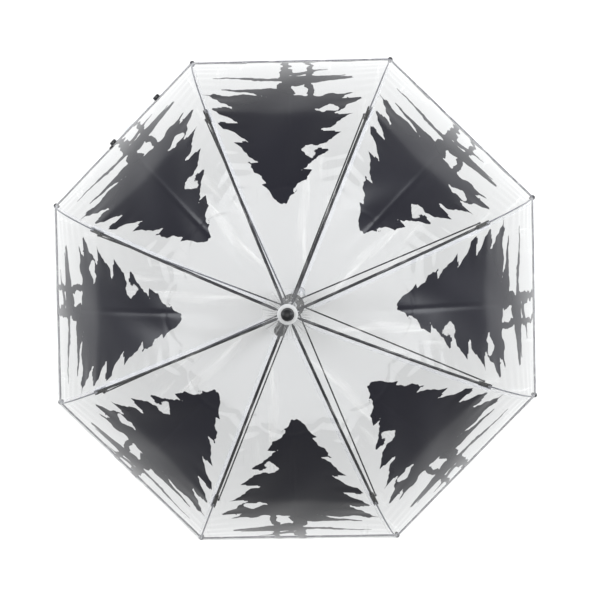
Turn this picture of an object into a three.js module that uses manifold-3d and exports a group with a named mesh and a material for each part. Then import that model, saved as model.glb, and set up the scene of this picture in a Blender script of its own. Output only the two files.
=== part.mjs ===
// A clear dome umbrella with eight jointed ribs, a welded film canopy, a sliding runner and a crook handle.
// Millimetres, +Z up. The origin is the middle of the straight hand grip, on the shaft's axis.
// Depths are measured down from the apex of the canopy.

import * as THREE from 'three';
import { mergeVertices } from 'three/addons/utils/BufferGeometryUtils.js';
import Module from 'manifold-3d';

const wasm = await Module();
wasm.setup();

// Frame: the eight ribs
const ribCount = 8;
const firstRibAzimuth = THREE.MathUtils.degToRad(22.5);
const crownPivotRadius = 9;
const crownPivotDepth = 10;
const jointRadius = 302;
const jointDepth = 184;
const rimRadius = 402;
const canopyDepth = 448;
const upperHalfTurn = THREE.MathUtils.degToRad(15);
const lowerHalfTurn = THREE.MathUtils.degToRad(17);
const upperRodRadius = 2;
const lowerRodRadius = 1.1;
const tongueThickness = 2;
const crownEyeRadius = 2.6;
const jointEyeRadius = 2.4;
const jointPinRadius = 0.8;
const tipCapRadius = 2.9;
const tipCapLength = 9;
const tipCapOverlap = 3;

// Rib connectors, at the joint between the thick and the thin rod
const connectorHalfWidth = 3.2;
const connectorLength = 22;
const connectorTop = 2.6;
const connectorBelly = 7;
const rodInsertEnd = 9;
const slotStart = 5.2;

// Stretchers, beside each rib
const stretcherThickness = 2;
const stretcherHalfHeight = 2.1;
const stretcherHoleRadius = 0.8;
const stretcherInboard = 11;
const stretcherBelow = 4;

// Film canopy
const filmThickness = 0.3;
const filmGapUpper = 4;
const filmGapLower = 2.4;
const filmInnerRadius = 7;
const filmInnerDepth = 1.9;
const filmShoulderRadius = 14;
const filmShoulderDepth = 3.8;
const filmFlare = 0.09;
const shoulderEase = 0.6;
const hemSetback = 4;
const panelStations = 9;

// Shaft, crown, ferrule and washer
const shaftRadius = 5;
const shaftWall = 0.8;
const shaftTopHeight = 14;
const notchRadius = 12.5;
const notchTopRadius = 7.5;
const notchTopDepth = 2.6;
const notchBottomDepth = 17;
const slotRootRadius = 6;
const washerRadius = 14;
const washerThickness = 2.4;
const washerSeatDepth = 1.3;
const ferruleRadius = 8.8;
const ferruleHeight = 24;

// Runner
const runnerOpenDepth = 262;
const runnerPivotRadius = 14;
const runnerFlangeRadius = 17.6;
const runnerFlangeTop = 4.6;
const runnerFlangeBottom = 4.4;
const runnerCoreRadius = 9.4;
const runnerSleeveRadius = 8.2;
const runnerCuffRadius = 10.4;
const runnerCuffHeight = 5;
const runnerLength = 44;
const runnerWindowTop = 26;
const runnerWindowBottom = 38;
const closedRibAngle = THREE.MathUtils.degToRad(87.5);
const stopRingRadius = 7;
const stopRingHeight = 5;

// Leaf-spring catches inside the shaft
const catchAzimuth = THREE.MathUtils.degToRad(62);
const catchWidth = 2.2;
const catchLeaf = 1;
const catchReach = 3.2;
const catchNoseTip = 2.2;
const catchNoseLength = 22;
const catchLength = 38;
const catchLeafOffset = 1.5;

// Crook handle
const handleTopDepth = 712;
const handleBendDepth = 795;
const handleRadius = 10.5;
const crookRadius = 38;
const crookRise = 14;
const crookAzimuth = THREE.MathUtils.degToRad(242);
const handleBoreDepth = 42;
const collarRadius = 11.8;
const collarTopRadius = 7.5;
const collarHeight = 12;

// Closing strap, on the third panel
const strapPanel = 3;
const strapLength = 115;
const strapWidth = 16;
const strapThickness = 0.6;
const strapHemGap = 2;
const strapStart = 87;
const strapStandOff = 1.2;
const snapRadius = 5.3;
const snapThickness = 2.2;
const snapFlare = 0.6;
const snapInset = 9;

// Fits
const slideClearance = 0.2;
const fitClearance = 0.3;
const sideClearance = 0.4;
const seamGap = 0.4;

const gripDepth = (handleTopDepth + handleBendDepth) / 2;
const ribStep = (2 * Math.PI) / ribCount;
const halfStep = ribStep / 2;

const colours = {
  blackPlastic: { color: 0x15161a, roughness: 0.35, metalness: 0 },
  clearPlastic: { color: 0xe9edf0, roughness: 0.12, metalness: 0, transparent: true, opacity: 0.5 },
  darkSteel: { color: 0x3a3d47, roughness: 0.35, metalness: 0.9 },
  paleSteel: { color: 0xb9bcc4, roughness: 0.3, metalness: 0.9 },
  film: { color: 0xdfe5ea, roughness: 0.06, metalness: 0, transparent: true, opacity: 0.3 },
};

// Shared helpers

function solidOf(geometry) {
  const bare = geometry.clone();
  bare.deleteAttribute('normal');
  bare.deleteAttribute('uv');
  const merged = mergeVertices(bare, 1e-4);
  const vertProperties = new Float32Array(merged.attributes.position.array);
  const triVerts = new Uint32Array(merged.index.array);
  return new wasm.Manifold(new wasm.Mesh({ numProp: 3, vertProperties, triVerts }));
}

function geometryOf(solid) {
  const mesh = solid.getMesh();
  const geometry = new THREE.BufferGeometry();
  geometry.setAttribute('position', new THREE.BufferAttribute(new Float32Array(mesh.vertProperties), 3));
  geometry.setIndex(new THREE.BufferAttribute(new Uint32Array(mesh.triVerts), 1));
  geometry.computeVertexNormals();
  return geometry;
}

function joined(...geometries) {
  return geometryOf(geometries.map(solidOf).reduce((whole, piece) => whole.add(piece)));
}

function cutFrom(base, tools) {
  return geometryOf(tools.map(solidOf).reduce((whole, tool) => whole.subtract(tool), solidOf(base)));
}

function named(name, geometry, look) {
  const mesh = new THREE.Mesh(geometry, new THREE.MeshStandardMaterial(colours[look]));
  mesh.name = name;
  return mesh;
}

// A solid of revolution about Z from a closed loop of [radius, height] points, listed anticlockwise.
function turned(loop, segments = 32) {
  const points = [...loop, loop[0]].map(([radius, height]) => new THREE.Vector2(radius, height));
  return new THREE.LatheGeometry(points, segments).rotateX(Math.PI / 2);
}

// An outline in the upright XZ plane, given a thickness along Y about the offset.
function plate(shape, thickness, offset = 0, curveSegments = 5) {
  const geometry = new THREE.ExtrudeGeometry(shape, {
    depth: thickness, bevelEnabled: false, steps: 1, curveSegments,
  });
  return geometry.translate(0, 0, -thickness / 2).rotateX(Math.PI / 2).translate(0, offset, 0);
}

function rodAlong(curve, radius, steps, sides) {
  const section = new THREE.Shape().absarc(0, 0, radius, 0, 2 * Math.PI, false);
  const curveSegments = sides / 2;
  return new THREE.ExtrudeGeometry(section, { extrudePath: curve, steps, curveSegments, bevelEnabled: false });
}

function box(low, high) {
  const size = high.map((value, axis) => value - low[axis]);
  const middle = high.map((value, axis) => (value + low[axis]) / 2);
  return new THREE.BoxGeometry(...size).translate(...middle);
}

function crossPin(x, z, radius, from, to, sides = 10) {
  return new THREE.CylinderGeometry(radius, radius, to - from, sides).translate(0, (from + to) / 2, 0).translate(x, 0, z);
}

// Rib curves, in the rib's upright plane

// A circular arc between two points that bulges outwards and turns by twice halfTurn.
class RibArc extends THREE.Curve {
  constructor(start, end, halfTurn, from = 0, to = 1) {
    super();
    Object.assign(this, { start, end, halfTurn, from, to });
    const chord = end.clone().sub(start);
    this.chord = chord.length();
    this.along = chord.normalize();
    this.outward = new THREE.Vector3(-this.along.z, 0, this.along.x);
    this.radius = this.chord / 2 / Math.sin(halfTurn);
    this.length = this.radius * 2 * halfTurn;
  }

  getPoint(t, target = new THREE.Vector3()) {
    const angle = (2 * (this.from + (this.to - this.from) * t) - 1) * this.halfTurn;
    const run = this.chord / 2 + this.radius * Math.sin(angle);
    const rise = this.radius * (Math.cos(angle) - Math.cos(this.halfTurn));
    return target.copy(this.start).addScaledVector(this.along, run).addScaledVector(this.outward, rise);
  }

  span(fromLength, toLength) {
    return new RibArc(this.start, this.end, this.halfTurn, fromLength / this.length, toLength / this.length);
  }

  tangentAt(t) {
    const angle = (2 * t - 1) * this.halfTurn;
    return this.along.clone().multiplyScalar(Math.cos(angle)).addScaledVector(this.outward, -Math.sin(angle));
  }

  normalAt(t) {
    const tangent = this.tangentAt(t);
    return new THREE.Vector3(-tangent.z, 0, tangent.x);
  }
}

const crownPivot = new THREE.Vector3(crownPivotRadius, 0, -crownPivotDepth);
const ribJoint = new THREE.Vector3(jointRadius, 0, -jointDepth);
const ribTip = new THREE.Vector3(rimRadius, 0, -canopyDepth);
const upperArc = new RibArc(crownPivot, ribJoint, upperHalfTurn);
const lowerArc = new RibArc(ribJoint, ribTip, lowerHalfTurn);
const jointTangent = upperArc.tangentAt(1);
const jointNormal = upperArc.normalAt(1);

const stretcherPivot = ribJoint.clone()
  .addScaledVector(jointTangent, -stretcherInboard)
  .addScaledVector(jointNormal, -stretcherBelow);
const stretcherOffset = connectorHalfWidth + fitClearance + stretcherThickness / 2;
const runnerPivot = new THREE.Vector3(runnerPivotRadius, 0, -runnerOpenDepth);
const stretcherLength = stretcherPivot.distanceTo(runnerPivot);

// The runner's depth once the ribs have swung down beside the shaft.
function closedRunnerDepth() {
  const openAngle = Math.atan2(-upperArc.along.z, upperArc.along.x);
  const swing = closedRibAngle - openAngle;
  const folded = stretcherPivot.clone().sub(crownPivot);
  folded.applyAxisAngle(new THREE.Vector3(0, 1, 0), swing).add(crownPivot);
  const sideways = folded.x - runnerPivotRadius;
  return -folded.z + Math.sqrt(stretcherLength ** 2 - sideways ** 2);
}

// Ribs, connectors and stretchers

// The thick upper rod, with a flat eye that swings in a slot of the crown.
function upperRib() {
  const eye = crossPin(crownPivot.x, crownPivot.z, crownEyeRadius, -tongueThickness / 2, tongueThickness / 2, 16);
  const notchCorner = Math.hypot(notchRadius - crownPivotRadius, notchBottomDepth - crownPivotDepth);
  const neckEnd = notchCorner + fitClearance;
  const slope = Math.atan2(-upperArc.tangentAt(0).z, upperArc.tangentAt(0).x);
  const neck = box(
    [0, -tongueThickness / 2, -crownEyeRadius + 0.8],
    [neckEnd + 2, tongueThickness / 2, crownEyeRadius - 0.8],
  ).rotateY(slope).translate(crownPivot.x, 0, crownPivot.z);
  const rod = rodAlong(upperArc.span(neckEnd, upperArc.length - rodInsertEnd), upperRodRadius, 9, 10);
  return joined(rod, neck, eye);
}

// The thin lower rod, with an eye on the connector's pin and a moulded cap on its tip.
function lowerRib() {
  const eye = crossPin(ribJoint.x, ribJoint.z, jointEyeRadius, -tongueThickness / 2, tongueThickness / 2, 14);
  const rodStart = jointEyeRadius - 0.6;
  const rod = rodAlong(lowerArc.span(rodStart, lowerArc.length), lowerRodRadius, 8, 8);
  const cap = turned([
    [0, -tipCapOverlap], [tipCapRadius * 0.75, -tipCapOverlap], [tipCapRadius, -tipCapOverlap + 1.6],
    [tipCapRadius, tipCapLength - tipCapOverlap - 2.2], [tipCapRadius * 0.7, tipCapLength - tipCapOverlap - 0.6],
    [0, tipCapLength - tipCapOverlap],
  ], 12);
  const tipDirection = lowerArc.tangentAt(1);
  cap.rotateY(Math.atan2(tipDirection.x, tipDirection.z)).translate(ribTip.x, 0, ribTip.z);
  const pinHole = crossPin(ribJoint.x, ribJoint.z, jointPinRadius + fitClearance, -tongueThickness, tongueThickness);
  return cutFrom(joined(eye, rod, cap), [pinHole]);
}

// The moulded connector: a socket for the thick rod and a clevis with a pin for the thin one.
function connector() {
  const back = -connectorLength;
  const outline = new THREE.Shape()
    .moveTo(back, -upperRodRadius - 0.8)
    .lineTo(-stretcherInboard - 4, -connectorBelly + 1)
    .lineTo(-stretcherInboard + 3, -connectorBelly + 1)
    .lineTo(0, -connectorTop - 1)
    .absarc(0, 0, connectorTop + 1, -Math.PI / 2, Math.PI / 4, false)
    .lineTo(-slotStart, connectorTop)
    .lineTo(back, connectorTop);
  const body = plate(outline, 2 * connectorHalfWidth);
  const halfSlot = tongueThickness / 2 + sideClearance;
  const slot = box([-slotStart, -halfSlot, -connectorBelly], [connectorBelly, halfSlot, connectorBelly]);
  const pin = crossPin(0, 0, jointPinRadius, -connectorHalfWidth + 0.5, connectorHalfWidth - 0.5);
  const slope = Math.atan2(-jointTangent.z, jointTangent.x);
  const clevis = joined(cutFrom(body, [slot]), pin).rotateY(slope).translate(ribJoint.x, 0, ribJoint.z);
  const insert = upperArc.length - rodInsertEnd + fitClearance;
  const socket = rodAlong(upperArc.span(insert - connectorLength, insert), upperRodRadius + fitClearance, 4, 10);
  return cutFrom(clevis, [socket]);
}

// A flat bar with a round eye at each end, beside the rib's plane.
function stretcher() {
  const outline = new THREE.Shape()
    .absarc(stretcherLength, 0, stretcherHalfHeight, -Math.PI / 2, Math.PI / 2, false)
    .absarc(0, 0, stretcherHalfHeight, Math.PI / 2, (3 * Math.PI) / 2, false);
  for (const x of [0, stretcherLength]) {
    outline.holes.push(new THREE.Path().absarc(x, 0, stretcherHoleRadius, 0, 2 * Math.PI, true));
  }
  const direction = stretcherPivot.clone().sub(runnerPivot);
  const slope = Math.atan2(-direction.z, direction.x);
  return plate(outline, stretcherThickness).rotateY(slope)
    .translate(runnerPivot.x, stretcherOffset, runnerPivot.z);
}

// Film canopy

// Where the film's middle runs above a rib: a list of radius and depth pairs down the upper rod.
function upperFilmLine() {
  const line = [
    new THREE.Vector3(filmInnerRadius, 0, -filmInnerDepth),
    new THREE.Vector3(filmShoulderRadius, 0, -filmShoulderDepth),
  ];
  for (let station = 0; station < panelStations; station += 1) {
    const t = filmFlare + ((1 - filmFlare) * station) / panelStations;
    line.push(upperArc.getPoint(t).addScaledVector(upperArc.normalAt(t), filmGapUpper));
  }
  line.push(shoulderPoint());
  return line;
}

function shoulderPoint() {
  const mitre = jointNormal.clone().add(lowerArc.normalAt(0)).normalize();
  return ribJoint.clone().addScaledVector(mitre, filmGapUpper + shoulderEase);
}

function lowerFilmLine() {
  const line = [shoulderPoint()];
  const last = 1 - hemSetback / lowerArc.length;
  for (let station = 1; station <= panelStations; station += 1) {
    const t = (last * station) / panelStations;
    const gap = THREE.MathUtils.lerp(filmGapUpper, filmGapLower, t);
    line.push(lowerArc.getPoint(t).addScaledVector(lowerArc.normalAt(t), gap));
  }
  return line;
}

// A film panel between two ribs: straight from rib to rib at each station, thin along its own normal.
function filmPanel(line, startGap, endGap) {
  const stations = line.length - 1;
  const geometry = new THREE.BoxGeometry(stations, 2, 1, stations, 1, 1).translate(stations / 2, 0, 0);
  const position = geometry.attributes.position;
  for (let vertex = 0; vertex < position.count; vertex += 1) {
    const station = Math.round(position.getX(vertex));
    const side = Math.sign(position.getY(vertex));
    const layer = position.getZ(vertex);
    const here = line[station].clone();
    const before = line[Math.max(station - 1, 0)];
    const after = line[Math.min(station + 1, stations)];
    const run = after.clone().sub(before);
    if (station === 0) here.addScaledVector(run.clone().normalize(), startGap);
    if (station === stations) here.addScaledVector(run.clone().normalize(), -endGap);
    const normal = new THREE.Vector3(-run.z, 0, run.x * Math.cos(halfStep)).normalize();
    position.setXYZ(
      vertex,
      here.x * Math.cos(halfStep) + normal.x * layer * filmThickness,
      side * (here.x * Math.sin(halfStep) - seamGap / 2),
      here.z + normal.z * layer * filmThickness,
    );
  }
  return geometry;
}

// Root pieces

function shaft() {
  const bottom = -handleTopDepth - handleBoreDepth + fitClearance;
  const bore = shaftRadius - shaftWall;
  const tube = turned([[shaftRadius, bottom], [shaftRadius, shaftTopHeight], [bore, shaftTopHeight], [bore, bottom]]);
  const halfSlot = catchWidth / 2 + sideClearance;
  const slots = [topCatchDepth() - 1, bottomCatchDepth() - catchNoseLength - 2].map((top) => box(
    [0, -halfSlot, -top - catchNoseLength - 3], [2 * shaftRadius, halfSlot, -top],
  ).rotateZ(catchAzimuth));
  return cutFrom(tube, slots);
}

function crownNotch() {
  const bore = shaftRadius + slideClearance;
  const body = turned([
    [bore, -notchBottomDepth], [notchRadius, -notchBottomDepth],
    [notchRadius, -notchTopDepth - (notchRadius - notchTopRadius)], [notchTopRadius, -notchTopDepth],
    [bore, -notchTopDepth],
  ]);
  const halfSlot = tongueThickness / 2 + fitClearance;
  const slotTop = -crownPivotDepth + crownEyeRadius + fitClearance;
  const slots = Array.from({ length: ribCount }, (_, index) => box(
    [slotRootRadius, -halfSlot, -notchBottomDepth - 1], [notchRadius + 2, halfSlot, slotTop],
  ).rotateZ(ribAzimuth(index)));
  return cutFrom(body, slots);
}

function canopyWasher() {
  const bore = shaftRadius + slideClearance;
  const base = -washerSeatDepth;
  const top = base + washerThickness;
  return turned([
    [bore, base], [washerRadius - 0.6, base], [washerRadius, base + 0.8], [washerRadius - 0.8, top - 0.5],
    [washerRadius - 3, top], [bore, top],
  ]);
}

function ferrule() {
  const base = washerThickness - washerSeatDepth + fitClearance;
  const bore = shaftRadius + fitClearance;
  const crownStart = ferruleHeight - ferruleRadius * 0.75;
  const loop = [[bore, base], [ferruleRadius, base], [ferruleRadius, base + 2.4], [ferruleRadius - 0.9, base + 3.6]];
  loop.push([ferruleRadius - 0.9, crownStart]);
  for (let step = 1; step <= 4; step += 1) {
    const angle = (step / 5) * (Math.PI / 2);
    loop.push([(ferruleRadius - 0.9) * Math.cos(angle), crownStart + (ferruleHeight - crownStart) * Math.sin(angle)]);
  }
  loop.push([0, ferruleHeight], [0, shaftTopHeight + fitClearance], [bore, shaftTopHeight + fitClearance]);
  return turned(loop);
}

function stopRing() {
  const base = -runnerOpenDepth + runnerFlangeTop + fitClearance;
  const bore = shaftRadius + slideClearance;
  return turned([
    [bore, base], [stopRingRadius, base], [stopRingRadius, base + stopRingHeight - 1.4],
    [stopRingRadius - 1, base + stopRingHeight], [bore, base + stopRingHeight],
  ], 24);
}

// The crook's centre line: straight down, half a turn sideways, then a short straight end.
class CrookCurve extends THREE.Curve {
  getPoint(t, target = new THREE.Vector3()) {
    const straight = handleBendDepth - handleTopDepth;
    const bend = Math.PI * crookRadius;
    const run = t * (straight + bend + crookRise);
    if (run < straight) return target.set(0, 0, -handleTopDepth - run);
    if (run < straight + bend) {
      const angle = (run - straight) / crookRadius;
      return target.set(crookRadius * (1 - Math.cos(angle)), 0, -handleBendDepth - crookRadius * Math.sin(angle));
    }
    return target.set(2 * crookRadius, 0, -handleBendDepth + run - straight - bend);
  }
}

function handle() {
  const body = rodAlong(new CrookCurve(), handleRadius, 36, 20);
  const end = new THREE.SphereGeometry(handleRadius, 20, 12).rotateX(Math.PI / 2)
    .translate(2 * crookRadius, 0, -handleBendDepth + crookRise);
  const bore = new THREE.CylinderGeometry(
    shaftRadius + fitClearance, shaftRadius + fitClearance, 2 * handleBoreDepth, 24,
  ).rotateX(Math.PI / 2).translate(0, 0, -handleTopDepth);
  return cutFrom(joined(body, end), [bore]).rotateZ(crookAzimuth);
}

function handleCollar() {
  const base = -handleTopDepth + fitClearance;
  const bore = shaftRadius + slideClearance;
  return turned([
    [bore, base], [collarRadius, base], [collarRadius, base + 3], [collarRadius - 1, base + 4],
    [collarTopRadius, base + collarHeight], [bore, base + collarHeight],
  ]);
}

// Runner and catches

function runner() {
  const pivot = -runnerOpenDepth;
  const bore = shaftRadius + slideClearance;
  const bottom = pivot + runnerFlangeTop - runnerLength;
  const body = turned([
    [bore, bottom], [runnerCuffRadius, bottom], [runnerCuffRadius, bottom + runnerCuffHeight - 1],
    [runnerSleeveRadius, bottom + runnerCuffHeight + 1], [runnerSleeveRadius, pivot - runnerFlangeBottom - 6],
    [runnerCoreRadius + 1, pivot - runnerFlangeBottom], [runnerFlangeRadius, pivot - runnerFlangeBottom + 1],
    [runnerFlangeRadius, pivot + runnerFlangeTop - 1], [runnerFlangeRadius - 1, pivot + runnerFlangeTop],
    [bore, pivot + runnerFlangeTop],
  ]);
  const halfSlot = stretcherThickness / 2 + sideClearance;
  const slots = Array.from({ length: ribCount }, (_, index) => box(
    [runnerPivotRadius - stretcherHalfHeight - fitClearance - 1, stretcherOffset - halfSlot, pivot - runnerLength / 4],
    [runnerFlangeRadius + 2, stretcherOffset + halfSlot, pivot + runnerFlangeTop + 1],
  ).rotateZ(ribAzimuth(index)));
  const halfWindow = catchWidth / 2 + sideClearance;
  const window = box(
    [shaftRadius - 1, -halfWindow, pivot - runnerWindowBottom],
    [runnerCuffRadius + 2, halfWindow, pivot - runnerWindowTop],
  ).rotateZ(catchAzimuth);
  return cutFrom(body, [...slots, window]);
}

function topCatchDepth() {
  return runnerOpenDepth - runnerFlangeTop + runnerLength + fitClearance;
}

function bottomCatchDepth() {
  return closedRunnerDepth() + runnerWindowBottom - fitClearance;
}

// A leaf with a ramped nose whose flat side faces the end it holds; up is 1 or -1.
function catchPlate(flatDepth, up) {
  const inner = catchLeafOffset;
  const outer = inner + catchLeaf;
  const nose = shaftRadius + catchReach;
  const outline = new THREE.Shape([
    new THREE.Vector2(inner, 0), new THREE.Vector2(nose, 0), new THREE.Vector2(nose, -up * catchNoseTip),
    new THREE.Vector2(outer, -up * catchNoseLength), new THREE.Vector2(outer, -up * catchLength),
    new THREE.Vector2(inner, -up * catchLength),
  ]);
  return plate(outline, catchWidth).translate(0, 0, -flatDepth).rotateZ(catchAzimuth);
}

// Strap

// The strap lies on the panel beside its hem; its frame has X along the hem and Z off the film.
function strapPlace() {
  const line = lowerFilmLine();
  const hem = line[panelStations];
  const above = line[panelStations - 1];
  const up = new THREE.Vector3((above.x - hem.x) * Math.cos(halfStep), 0, above.z - hem.z).normalize();
  const off = new THREE.Vector3(up.z, 0, -up.x);
  const middle = new THREE.Vector3(hem.x * Math.cos(halfStep), 0, hem.z)
    .addScaledVector(up, strapHemGap + strapWidth / 2)
    .addScaledVector(off, strapStandOff);
  const across = new THREE.Vector3(0, 1, 0);
  return new THREE.Matrix4().makeBasis(across, up, off).setPosition(middle);
}

function ribAzimuth(index) {
  return firstRibAzimuth + index * ribStep;
}

function aboutAxis(azimuth, ...meshes) {
  const group = new THREE.Group();
  group.rotation.z = azimuth;
  group.add(...meshes);
  return group;
}

// Assembly

const umbrella = new THREE.Group();
const apex = new THREE.Group();
apex.position.z = gripDepth;
umbrella.add(apex);

apex.add(
  named('shaft', shaft(), 'paleSteel'),
  named('crown_notch', crownNotch(), 'blackPlastic'),
  named('canopy_washer', canopyWasher(), 'clearPlastic'),
  named('ferrule', ferrule(), 'blackPlastic'),
  named('stop_ring', stopRing(), 'paleSteel'),
  named('runner', runner(), 'blackPlastic'),
  named('top_catch', catchPlate(topCatchDepth(), 1), 'paleSteel'),
  named('bottom_catch', catchPlate(bottomCatchDepth(), -1), 'paleSteel'),
  named('handle_collar', handleCollar(), 'paleSteel'),
  named('handle', handle(), 'blackPlastic'),
);

const upperRibShape = upperRib();
const lowerRibShape = lowerRib();
const connectorShape = connector();
const stretcherShape = stretcher();
const upperPanelShape = filmPanel(upperFilmLine(), 0, seamGap / 2);
const lowerPanelShape = filmPanel(lowerFilmLine(), seamGap / 2, 0);

for (let index = 0; index < ribCount; index += 1) {
  const number = index + 1;
  apex.add(
    aboutAxis(
      ribAzimuth(index),
      named(`rib_upper_${number}`, upperRibShape, 'darkSteel'),
      named(`rib_lower_${number}`, lowerRibShape, 'paleSteel'),
      named(`connector_${number}`, connectorShape, 'blackPlastic'),
      named(`stretcher_${number}`, stretcherShape, 'darkSteel'),
    ),
    aboutAxis(
      ribAzimuth(index) + halfStep,
      named(`canopy_upper_${number}`, upperPanelShape, 'film'),
      named(`canopy_lower_${number}`, lowerPanelShape, 'film'),
    ),
  );
}

const strapGroup = new THREE.Group();
strapGroup.applyMatrix4(strapPlace());
const strapMiddle = -strapStart + strapLength / 2;
const strapShape = new THREE.BoxGeometry(strapLength, strapWidth, strapThickness).translate(strapMiddle, 0, 0);
const snapHeight = (strapThickness + snapThickness) / 2 + fitClearance;
const snapShape = new THREE.CylinderGeometry(snapRadius, snapRadius + snapFlare, snapThickness, 24)
  .rotateX(Math.PI / 2)
  .translate(snapInset - strapStart, 0, snapHeight);
strapGroup.add(named('strap', strapShape, 'film'), named('strap_snap', snapShape, 'blackPlastic'));
apex.add(aboutAxis(ribAzimuth(strapPanel - 1) + halfStep, strapGroup));

export default umbrella;
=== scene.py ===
import math

import bpy
import numpy as np
from mathutils import Matrix, Vector


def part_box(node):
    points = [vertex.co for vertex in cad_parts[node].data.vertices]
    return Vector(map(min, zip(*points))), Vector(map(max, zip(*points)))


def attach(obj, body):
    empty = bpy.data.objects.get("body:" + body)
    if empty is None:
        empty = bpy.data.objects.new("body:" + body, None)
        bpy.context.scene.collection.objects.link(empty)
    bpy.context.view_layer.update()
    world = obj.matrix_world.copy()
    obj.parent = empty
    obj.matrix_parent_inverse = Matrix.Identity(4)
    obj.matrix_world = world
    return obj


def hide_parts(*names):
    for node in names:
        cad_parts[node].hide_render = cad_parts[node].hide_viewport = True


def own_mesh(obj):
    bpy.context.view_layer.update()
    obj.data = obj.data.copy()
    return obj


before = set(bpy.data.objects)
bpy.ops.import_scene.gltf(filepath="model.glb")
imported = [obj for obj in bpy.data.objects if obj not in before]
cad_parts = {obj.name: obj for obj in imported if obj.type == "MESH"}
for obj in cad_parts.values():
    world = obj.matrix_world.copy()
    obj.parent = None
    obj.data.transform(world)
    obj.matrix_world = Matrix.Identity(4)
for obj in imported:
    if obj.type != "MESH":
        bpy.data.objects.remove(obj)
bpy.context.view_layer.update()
scene = bpy.context.scene
scene.view_settings.view_transform = "Standard"

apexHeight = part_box("ferrule")[1].z - 0.024      # the canopy's apex, above the middle of the grip
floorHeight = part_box("handle")[0].z - 0.001
panelCount = 8
ribStep = 2 * math.pi / panelCount
halfStep = ribStep / 2
print("frame loaded, apex at", round(apexHeight, 4))


# Camera, floor and light

cameraSetup = {
    "distance": 2.5,
    "aimBelowApex": 0.25,
    "tiltX": 2.54,
    "tiltY": -1.41,
    "roll": 0.98,
    "lens": 102.94,
    "shift": (0.0131, 0.0100),
}

lightSetup = {
    "worldColour": (1.0, 1.0, 0.98),
    "worldStrength": 0.32,
    "overhead": {"size": 3.0, "power": 86, "place": (0.1, 0.3, 3.4), "colour": (1, 0.99, 0.97)},
    "rightPanel": {"size": 2.0, "power": 78, "place": (2.8, 0.9, 1.5), "colour": (0.93, 0.96, 1)},
    "leftPanel": {"size": 2.0, "power": 70, "place": (-2.8, 0.9, 1.5), "colour": (0.93, 0.96, 1)},
}

floorSetup = {"size": 14, "colour": (0.96, 0.96, 0.96)}


def makeCamera(setup):
    turn = (Matrix.Rotation(math.radians(setup["roll"]), 4, "Z")
            @ Matrix.Rotation(math.radians(setup["tiltX"]), 4, "X")
            @ Matrix.Rotation(math.radians(setup["tiltY"]), 4, "Y")).inverted()
    aim = Matrix.Translation((0, 0, apexHeight - setup["aimBelowApex"]))
    data = bpy.data.cameras.new("camera")
    data.lens = setup["lens"]
    data.sensor_width = 36
    data.shift_x, data.shift_y = setup["shift"]
    data.clip_end = 50
    camera = bpy.data.objects.new("camera", data)
    scene.collection.objects.link(camera)
    camera.matrix_world = aim @ turn @ Matrix.Translation((0, 0, setup["distance"]))
    scene.camera = camera


def areaLight(name, setup):
    data = bpy.data.lights.new(name, "AREA")
    data.shape = "DISK"
    data.size = setup["size"]
    data.energy = setup["power"]
    data.color = setup["colour"]
    light = bpy.data.objects.new(name, data)
    scene.collection.objects.link(light)
    light.location = setup["place"]
    toward = Vector((0, 0, apexHeight - 0.2)) - Vector(setup["place"])
    light.rotation_euler = toward.to_track_quat("-Z", "Y").to_euler()


def softSky(setup):
    world = bpy.data.worlds.new("studio")
    world.use_nodes = True
    background = world.node_tree.nodes["Background"]
    background.inputs["Color"].default_value = (*setup["worldColour"], 1)
    background.inputs["Strength"].default_value = setup["worldStrength"]
    scene.world = world


makeCamera(cameraSetup)
softSky(lightSetup)
for lightName in ("overhead", "rightPanel", "leftPanel"):
    areaLight(lightName, lightSetup[lightName])
print("camera and lights ready")


# Node helpers and shared effects

def newNode(tree, kind, inputs=None, **settings):
    node = tree.nodes.new(kind)
    for key, value in settings.items():
        setattr(node, key, value)
    for key, value in (inputs or {}).items():
        node.inputs[key].default_value = value
    return node


def join(tree, source, output, target, socket):
    tree.links.new(source.outputs[output], target.inputs[socket])


def maths(tree, operation, first, second=None, third=None, clamp=False):
    node = newNode(tree, "ShaderNodeMath", operation=operation, use_clamp=clamp)
    for index, value in enumerate((first, second, third)):
        if value is None:
            continue
        if isinstance(value, (int, float)):
            node.inputs[index].default_value = value
        else:
            tree.links.new(value, node.inputs[index])
    return node.outputs[0]


def effectGroup(name, inputs, outputs):
    tree = bpy.data.node_groups.new(name, "ShaderNodeTree")
    for label, kind, value in inputs:
        socket = tree.interface.new_socket(name=label, in_out="INPUT", socket_type=kind)
        if value is not None:
            socket.default_value = value
    for label, kind in outputs:
        tree.interface.new_socket(name=label, in_out="OUTPUT", socket_type=kind)
    return tree, tree.nodes.new("NodeGroupInput"), tree.nodes.new("NodeGroupOutput")


def placeGroup(tree, group, **values):
    node = newNode(tree, "ShaderNodeGroup", node_tree=group)
    for label, value in values.items():
        node.inputs[label].default_value = value
    return node


# Fine moulding grain and faint handling marks on plastic
def mouldedGrain():
    tree, inside, outside = effectGroup(
        "mouldedGrain",
        [("Place", "NodeSocketVector", None), ("Grain", "NodeSocketFloat", 900.0),
         ("Marks", "NodeSocketFloat", 60.0)],
        [("Height", "NodeSocketFloat"), ("Mark", "NodeSocketFloat")],
    )
    grain = newNode(tree, "ShaderNodeTexNoise", {"Detail": 3.0, "Roughness": 0.6})
    marks = newNode(tree, "ShaderNodeTexNoise", {"Detail": 5.0, "Roughness": 0.7, "Distortion": 0.4})
    for texture, label in ((grain, "Grain"), (marks, "Marks")):
        join(tree, inside, "Place", texture, "Vector")
        join(tree, inside, label, texture, "Scale")
    worn = newNode(tree, "ShaderNodeMapRange", {"From Min": 0.45, "From Max": 0.75})
    join(tree, marks, "Fac", worn, "Value")
    join(tree, grain, "Fac", outside, "Height")
    join(tree, worn, "Result", outside, "Mark")
    return tree


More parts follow.
